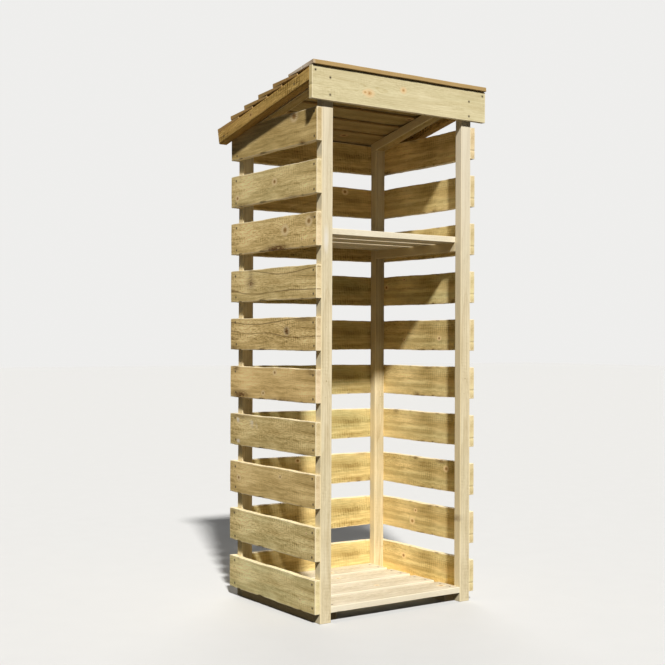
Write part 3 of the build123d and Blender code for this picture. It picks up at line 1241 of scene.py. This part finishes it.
@dataclass
class SlattedSide(Slats):
    """Ten sawn slats up one side, nailed to the front and back posts from outside."""

    side: str = "left"
    face: Face = Face.LOW
    nail_marks_mm: tuple[float, float] = (14.0, 457.0)
    # Slats without listed tones, which are the right side's, take a lightness in this low range: painted
    # shade of the store's inside
    light: tuple[float, float] = (0.86, 0.99)
    tones: tuple[Tone, ...] = ()
    knots: dict[int, tuple[Knot, ...]] = field(default_factory=dict)
    veins: dict[int, tuple[Vein, ...]] = field(default_factory=dict)
    stains: dict[int, tuple[Stain, ...]] = field(default_factory=dict)

    def build(self, shop: Workshop) -> None:
        """Builds the slats and their nail heads.

        Args:
            shop: makes the boards.
        """
        rng = np.random.default_rng(sum(self.side.encode()))
        heads = NailHeads()
        for number in range(1, self.count + 1):
            nails = self._nails(rng, self.nail_marks_mm)
            knots = self.knots.get(number) or self._knots(rng, 60, self.length_mm - 40)
            tone = self.tones[number - 1] if self.tones else self._tone(rng, self.light, number)
            stains = self.stains.get(number, ()) if self.stains else self._stains(rng)
            cut = Cut(self.face, nails, knots, self.veins.get(number, ()), stains, tone)
            shop.dress(f"{self.side}_slat_{number:02d}", Lie.SIDE_SLAT, self.wear, self.pine,
                       [cut], heads)
        heads.piece(f"{self.side}_slat_nails", shop.steel)


@dataclass
class SlattedBack(Slats):
    """Ten sawn slats across the back, between the ends of the side slats."""

    length_mm: float = 560.0
    nail_in_mm: float = 19.0
    # Darker than the sides: painted shade of the store's inside, which also keeps the lower slats that the
    # key lamp lights from glowing
    light: tuple[float, float] = (0.76, 0.90)
    wear: Wear = replace(Slats.wear, end_wander=0.4)
    seed: int = 7

    def build(self, shop: Workshop) -> None:
        """Builds the slats and their nail heads.

        Args:
            shop: makes the boards.
        """
        rng = np.random.default_rng(self.seed)
        heads = NailHeads()
        cuts = []
        for number in range(1, self.count + 1):
            nails = self._nails(rng, (self.nail_in_mm, self.length_mm - self.nail_in_mm))
            knots = self._knots(rng, 60, self.length_mm - 60)
            tone = self._tone(rng, self.light, number)
            cuts.append(Cut(Face.HIGH, nails, knots, stains=self._stains(rng), tone=tone))
        shop.dress("back_slats", Lie.CROSS_SLAT, self.wear, self.pine, cuts, heads)
        heads.piece("back_slat_nails", shop.steel)


@dataclass
class Decks:
    """The slatted floor on its bearers and bottom rails, and the kindling shelf on its two bearers."""

    floor_length_mm: float = 484.0
    shelf_length_mm: float = 558.0
    board_width_mm: float = 100.0
    # The last shelf board is ripped to meet the back posts
    ripped_mm: float = 70.0
    boards_each: int = 4
    nail_in_mm: float = 19.0
    nail_edge_mm: float = 25.0
    seed: int = 11
    wear: Wear = Wear(arris=1.0, arris_play=0.4, chip=1.2, chips_per_metre=4.0, edge_wander=0.8)
    bearer_wear: Wear = Wear(arris=1.2, arris_play=0.4, chip=1.2, chips_per_metre=4.0, edge_wander=0.3)
    boards: TreatedPine = TreatedPine(
        "sawn_treated_pine_boards", early="#DCD1BE", late="#B79D70", green="#C8C09C", knot="#A07A4A",
        knot_body="#C49C66", halo="#EEDDB8", arris_pale_and_highlight="#F4EBD2", streak=0.2, mottle=0.30, fibre=0.25,
        fuzz=0.25, torn=0.4, saw=0.3)
    battens: TreatedPine = TreatedPine(
        "sawn_treated_pine_bearers", early="#C7AC78", late="#947044", green="#A09A66", streak=0.25,
        mottle=0.4)
    # Lighter and warmer than the bearers: painted light, standing in for the light that sunlit ground throws
    # into their shade under the lowest slats
    rails: TreatedPine = TreatedPine(
        "sawn_treated_pine_rails_painted_light", early="#ECC676", late="#B88046", green="#C6B066", streak=0.25, mottle=0.4)

    def build(self, shop: Workshop) -> None:
        """Builds the rails, bearers and boards, and the boards' nail heads.

        Args:
            shop: makes the boards.
        """
        # The rails' lightness of 1.3 is painted light in the shade under the lowest slats
        for kind, light, pine in (("bottom_rail", 1.3, self.rails), ("floor_bearer", 0.85, self.battens),
                                  ("shelf_bearer", 0.95, self.battens)):
            for side in ("left", "right"):
                cut = Cut(tone=Tone(light, 0.25), splits=False)
                shop.dress(f"{side}_{kind}", Lie.RUNNER, self.bearer_wear, pine, [cut])
        heads = NailHeads()
        rng = np.random.default_rng(self.seed)
        # The front board of each deck shows, with one knot
        for node, length, last_width, seen in (
                ("floor_boards", self.floor_length_mm, self.board_width_mm, Knot(450.0, 50.0, 8.0)),
                ("shelf_boards", self.shelf_length_mm, self.ripped_mm, Knot(410.0, 60.0, 5.0))):
            cuts = []
            for number in range(self.boards_each):
                width = last_width if number == self.boards_each - 1 else self.board_width_mm
                nails = tuple((along, across + rng.uniform(-3, 3))
                              for along in (self.nail_in_mm, length - self.nail_in_mm)
                              for across in (self.nail_edge_mm, width - self.nail_edge_mm))
                knots = (seen,) if number == 0 else (
                    Knot(rng.uniform(60, length - 60), rng.uniform(15, width - 15), rng.uniform(3, 7)),)
                cuts.append(Cut(Face.HIGH, nails, knots, tone=Tone(rng.uniform(0.94, 1.02), 0.3, 0.9)))
            shop.dress(node, Lie.DECK_BOARD, self.wear, self.boards, cuts, heads)
        heads.piece("deck_nails", shop.steel)


@dataclass
class Roof:
    """The pent roof: rafters on the posts, barge boards, the fascia, and six feather-edge boards."""

    board_length_mm: float = 652.0
    board_width_mm: float = 134.0
    board_count: int = 6
    # Each roof board's nails stand this far in from its ends, and this far up from its lower edge
    nail_side_mm: float = 58.0
    nail_up_mm: float = 30.0
    barge_nails: tuple[tuple[float, float], ...] = ((80.0, 20.0), (500.0, 16.0))
    barge_knot: Knot = Knot(330.0, 22.0, 5.0)
    # The fascia's nails and knots as they show in the photograph
    fascia_nails: tuple[tuple[float, float], ...] = (
        (63.0, 65.5), (62.5, 16.0), (585.0, 59.0), (585.0, 13.5), (12.0, 82.0), (640.0, 82.0))
    fascia_knots: tuple[Knot, ...] = (
        Knot(201.0, 38.0, 7.5, 1.5), Knot(186.0, 39.0, 4.0, 1.6), Knot(327.0, 62.0, 6.0))
    seed: int = 23
    rafter_wear: Wear = Wear(arris=1.2, arris_play=0.4, chip=1.2, chips_per_metre=4.0, edge_wander=0.3,
                             face_wander=0.3)
    barge_wear: Wear = Wear(arris=1.3, chip=1.8, chips_per_metre=5.0, edge_wander=0.8, face_wander=0.3)
    # The lower outer arris of each barge board is waney
    barge_wane_mm: float = 4.0
    fascia_wear: Wear = Wear(arris=0.9, arris_play=0.3, chip=0.8, chips_per_metre=2.0, edge_wander=0.5,
                             face_wander=0.2)
    board_wear: Wear = Wear(arris=0.9, arris_play=0.4, chip=1.2, chips_per_metre=5.0, edge_wander=0.9,
                            face_wander=0.3, end_wander=0.8)
    rafters: TreatedPine = TreatedPine(
        "sawn_treated_pine_rafters", early="#CDB27A", late="#9A7746", green="#A8A068", streak=0.25,
        mottle=0.36)
    barge: TreatedPine = TreatedPine(
        "sawn_treated_pine_barge", early="#DEB268", late="#8A6638", green="#B2A25C", knot="#6E4C26",
        knot_body="#8E6834", halo="#D8B070", arris_pale_and_highlight="#D0A458", streak=0.3, mottle=0.3, fuzz=0.8, saw=2.8,
        saw_pitch_mm=13.0)
    fascia: TreatedPine = TreatedPine(
        "planed_treated_pine_fascia", early="#E0D3AC", late="#C0A872", green="#C8C294", knot="#B07E4C",
        knot_body="#CFAA76", halo="#E8CB9C", end_early="#FFE6A6", end_late="#EACC88", ring_strength=0.45,
        streak=0.16, mottle=0.20, fibre=0.20, fuzz=0.15, torn=0.2, saw=0.2)
    boards: TreatedPine = TreatedPine(
        "feather_edge_treated_pine", early="#BC9E6C", late="#8A6840", green="#908854", knot="#5E4226",
        knot_body="#84603A", halo="#C4A270", end_early="#C8965C", end_late="#8A6036", arris_pale_and_highlight="#B29464",
        streak=0.3, mottle=0.5, saw=0.9)

    def build(self, shop: Workshop) -> None:
        """Builds the roof's timbers and nail heads.

        Args:
            shop: makes the boards.
        """
        for side in ("left", "right"):
            shop.dress(f"{side}_rafter", Lie.RUNNER, self.rafter_wear, self.rafters,
                       [Cut(tone=Tone(0.95, 0.25))])
            face = Face.LOW if side == "left" else Face.HIGH
            wane = (self.barge_wane_mm, 0.0) if side == "left" else (0.0, self.barge_wane_mm)
            wear = replace(self.barge_wear, wane=(*wane, 0.0, 0.0))
            heads = NailHeads()
            cut = Cut(face, self.barge_nails, (self.barge_knot,), tone=Tone(0.95, 0.3, 1.1))
            shop.dress(f"{side}_barge_board", Lie.SIDE_SLAT, wear, self.barge, [cut], heads)
            heads.piece(f"{side}_barge_nails", shop.steel)
        heads = NailHeads()
        shop.dress("fascia", Lie.CROSS_SLAT, self.fascia_wear, self.fascia,
                   [Cut(Face.LOW, self.fascia_nails, self.fascia_knots, tone=Tone(1.0, 0.3, 0.9))], heads)
        heads.piece("fascia_nails", shop.steel)
        rng = np.random.default_rng(self.seed)
        heads = NailHeads()
        across = self.board_width_mm - self.nail_up_mm
        nails = tuple((along, across) for along in (self.nail_side_mm, self.board_length_mm / 2,
                                                    self.board_length_mm - self.nail_side_mm))
        for number in range(1, self.board_count + 1):
            knots = tuple(Knot(rng.uniform(60, 590), rng.uniform(15, 120), rng.uniform(4, 8))
                          for _ in range(2))
            tone = Tone(rng.uniform(0.9, 1.05), rng.uniform(0.3, 0.5), 1.1)
            # The front board's left end has bleached
            stains = (Stain(0.0, 67.0, 10.0, 110.0, -0.7),) if number == 1 else ()
            cut = Cut(Face.HIGH, nails, knots, stains=stains, tone=tone)
            shop.dress(f"roof_board_{number}", Lie.DECK_BOARD, self.board_wear, self.boards,
                       [cut], heads)
        heads.piece("roof_nails", shop.steel)


@dataclass(frozen=True)
class SunLamp:
    """A lamp as far off as the sun: which way it shines, its width in degrees, strength and colour."""

    name: str
    towards: Triple
    spread: float
    strength: float
    colour: Triple

    def hang(self) -> None:
        """Hangs the lamp."""
        light = bpy.data.lights.new(self.name, "SUN")
        light.angle = math.radians(self.spread)
        light.energy = self.strength
        light.color = self.colour
        lamp = put_in_scene(self.name, light)
        lamp.rotation_euler = Vector(self.towards).to_track_quat("-Z", "Y").to_euler()


@dataclass
class Studio:
    """A pale floor and backdrop, a key lamp in front, a softer one behind, a weak fill, and the camera."""

    camera_place: Triple = (-2.1375, -3.0025, 0.8064)
    # The camera's turns, in radians
    yaw: float = 0.60395
    pitch: float = 0.00734
    roll: float = 0.00415
    lens_mm: float = 63.045
    sensor_mm: float = 36.0
    floor_reach: float = 30.0
    floor_seen: str = "#D9DADB"
    floor_bounce: str = "#45423E"
    # The first lamp is the photograph's sun, in front, to the left and above
    # The second lights the back, which a turned view shows
    lamps: tuple[SunLamp, ...] = (
        SunLamp("key_lamp", (0.30, 0.655, -0.69), 4.0, 4.8, (1.0, 0.975, 0.93)),
        SunLamp("back_lamp", (-0.52, -0.80, -0.30), 40.0, 1.7, (1.0, 0.99, 0.97)))
    sky_colour: tuple[float, float, float, float] = (1.0, 0.98, 0.94, 1.0)
    sky_strength: float = 0.035
    backdrop_colour: tuple[float, float, float, float] = (1.0, 0.995, 0.98, 1.0)
    backdrop: float = 0.86

    def build(self) -> None:
        """Builds the floor, lamps, world and camera."""
        self._floor()
        for lamp in self.lamps:
            lamp.hang()
        self._world()
        self._camera()
        bpy.context.scene.view_settings.view_transform = "Standard"

    def _floor(self) -> None:
        """Builds the floor: smooth painted board, pale, with a trace of unevenness in its paint."""
        reach = self.floor_reach
        mesh = bpy.data.meshes.new("studio_floor")
        mesh.from_pydata([(-reach, -reach, 0), (reach, -reach, 0), (reach, reach, 0), (-reach, reach, 0)], [],
                         [(0, 1, 2, 3)])
        material = bpy.data.materials.new("matt_floor_paint")
        tree = bare_tree(material)
        place = add(tree, "TexCoord").outputs["Object"]
        # Roller stipple would be 1 mm; the soft unevenness that shows is near 100 mm across
        cloud = add(tree, "TexNoise", {"Vector": place, "Scale": 10.0, "Detail": 3.0})
        shade = add(tree, "MapRange", {"Value": cloud, "To Min": 0.97, "To Max": 1.0})
        colour = add(tree, "Mix", {0: self._seen(tree), 6: linear(self.floor_bounce),
                                   7: linear(self.floor_seen)}, data_type="RGBA")
        colour = add(tree, "VectorMath", {0: colour, "Scale": shade}, operation="SCALE")
        shader = add(tree, "BsdfPrincipled", {
            "Base Color": colour, "Roughness": 1.0, "IOR": 1.5, "Specular IOR Level": 0.0})
        add(tree, "OutputMaterial", {"Surface": shader})
        mesh.materials.append(material)
        floor = put_in_scene("studio_floor", mesh)

    @staticmethod
    def _seen(tree: bpy.types.NodeTree) -> bpy.types.Node:
        """Adds what tells whether the eye, a reflection or glass looks at a surface.

        Args:
            tree: the tree that asks.

        Returns:
            1 for the eye, a reflection or glass, and 0 for light on its way to the object.
        """
        path = add(tree, "LightPath")
        seen = add(tree, "Math", {0: path.outputs["Is Camera Ray"], 1: path.outputs["Is Glossy Ray"]},
                   operation="MAXIMUM")
        return add(tree, "Math", {0: seen, 1: path.outputs["Is Transmission Ray"]}, operation="MAXIMUM")

    def _world(self) -> None:
        """Fills the shade from the sky, and shows a pale backdrop to the eye and in reflections."""
        world = bpy.data.worlds.new("studio_air")
        tree = bare_tree(world)
        fill = add(tree, "Background", {"Color": self.sky_colour, "Strength": self.sky_strength})
        shown = add(tree, "Background", {"Color": self.backdrop_colour, "Strength": self.backdrop})
        mixed = add(tree, "MixShader", {0: self._seen(tree), 1: fill, 2: shown})
        add(tree, "OutputWorld", {"Surface": mixed})
        bpy.context.scene.world = world

    def _camera(self) -> None:
        """Stands the camera where the photograph was taken from."""
        forward = Vector((math.sin(self.yaw) * math.cos(self.pitch),
                          math.cos(self.yaw) * math.cos(self.pitch), math.sin(self.pitch)))
        level = Vector((math.cos(self.yaw), -math.sin(self.yaw), 0))
        upward = level.cross(forward)
        right = level * math.cos(self.roll) + upward * math.sin(self.roll)
        top = upward * math.cos(self.roll) - level * math.sin(self.roll)
        lens = bpy.data.cameras.new("photographer")
        lens.lens = self.lens_mm
        lens.sensor_width = self.sensor_mm
        lens.clip_end = 200.0
        camera = put_in_scene("photographer", lens)
        turn = Matrix((right, top, -forward)).transposed().to_4x4()
        camera.matrix_world = Matrix.Translation(self.camera_place) @ turn
        bpy.context.scene.camera = camera


# The left slats from the ground up, as they differ in the photograph
LEFT_TONES = (
    Tone(1.06, 0.75, 0.8, 0.9), Tone(1.02, 0.60, 0.9, 1.5), Tone(0.93, 0.20, 1.0, 0.75),
    Tone(0.94, 0.40, 0.9, 1.45), Tone(1.00, 0.00, 0.7, 0.6), Tone(0.98, 0.15, 1.3, 1.9),
    Tone(1.02, 0.35, 1.5, 1.2), Tone(1.03, 0.20, 0.9, 1.6), Tone(1.03, 0.45, 0.9, 1.1),
    Tone(0.78, 0.30, 0.9, 0.6))
LEFT_KNOTS = {
    1: (Knot(78.0, 32.0, 2.5),),
    2: (Knot(47.0, 78.0, 2.5),),
    6: (Knot(157.0, 58.0, 8.0),),
    7: (Knot(365.0, 54.0, 4.0, 1.5),),
    8: (Knot(168.0, 57.0, 10.0), Knot(40.0, 75.0, 9.0), Knot(77.0, 25.0, 2.2)),
    9: (Knot(228.0, 57.0, 7.0), Knot(450.0, 28.0, 6.0)),
    10: (Knot(121.0, 88.0, 10.0),),
}
LEFT_VEINS = {
    6: (Vein(((489.0, 62.0), (380.0, 50.0), (280.0, 56.0), (150.0, 40.0), (0.0, 44.0))),
        Vein(((489.0, 88.0), (360.0, 80.0), (250.0, 84.0), (120.0, 96.0), (0.0, 104.0)))),
    7: (Vein(((485.0, 40.5), (407.0, 25.7), (293.0, 22.2), (160.0, 29.6), (100.0, 30.8), (0.0, 27.3))),
        Vein(((489.0, 112.0), (294.0, 90.0), (198.0, 77.4), (124.0, 82.0), (0.0, 95.0)))),
}
LEFT_STAINS = {
    2: (Stain(470.0, 90.0, 40.0, 14.0, 0.4),),
    4: (Stain(420.0, 94.0, 110.0, 14.0, 0.45), Stain(60.0, 4.0, 60.0, 9.0, 0.4),
        Stain(355.0, 76.0, 15.0, 11.0, -1.3), Stain(440.0, 83.0, 11.0, 10.0, -1.2),
        Stain(438.0, 14.0, 11.0, 10.0, -1.2), Stain(325.0, 74.0, 10.0, 8.0, -0.7)),
    5: (Stain(425.0, 10.0, 85.0, 26.0, 0.75), Stain(455.0, 92.0, 34.0, 18.0, 0.6),
        Stain(24.0, 90.0, 40.0, 16.0, 0.5), Stain(180.0, 3.0, 120.0, 9.0, 0.6)),
    6: (Stain(157.0, 58.0, 20.0, 18.0, 1.2), Stain(60.0, 95.0, 80.0, 12.0, 0.5),
        Stain(470.0, 5.0, 50.0, 14.0, 0.5)),
    7: (Stain(365.0, 58.0, 44.0, 32.0, 0.6), Stain(366.0, 80.0, 22.0, 30.0, 0.45)),
    8: (Stain(215.0, 2.0, 110.0, 22.0, 1.0), Stain(20.0, 88.0, 24.0, 18.0, 0.5)),
    9: (Stain(420.0, 4.0, 80.0, 9.0, 0.5), Stain(130.0, 3.0, 60.0, 8.0, 0.5)),
    10: (Stain(120.0, 90.0, 55.0, 16.0, 0.6), Stain(78.0, 4.0, 30.0, 12.0, 0.6)),
}


def main() -> None:
    """Builds the studio and the store's sub-assemblies in order."""
    logging.basicConfig(level=logging.INFO, format="%(message)s")
    Studio().build()
    shop = Workshop()
    Posts().build(shop)
    SlattedSide(side="left", face=Face.LOW, tones=LEFT_TONES, knots=LEFT_KNOTS, veins=LEFT_VEINS,
                stains=LEFT_STAINS).build(shop)
    SlattedSide(side="right", face=Face.HIGH).build(shop)
    SlattedBack().build(shop)
    Decks().build(shop)
    Roof().build(shop)


if __name__ == "__main__":
    main()
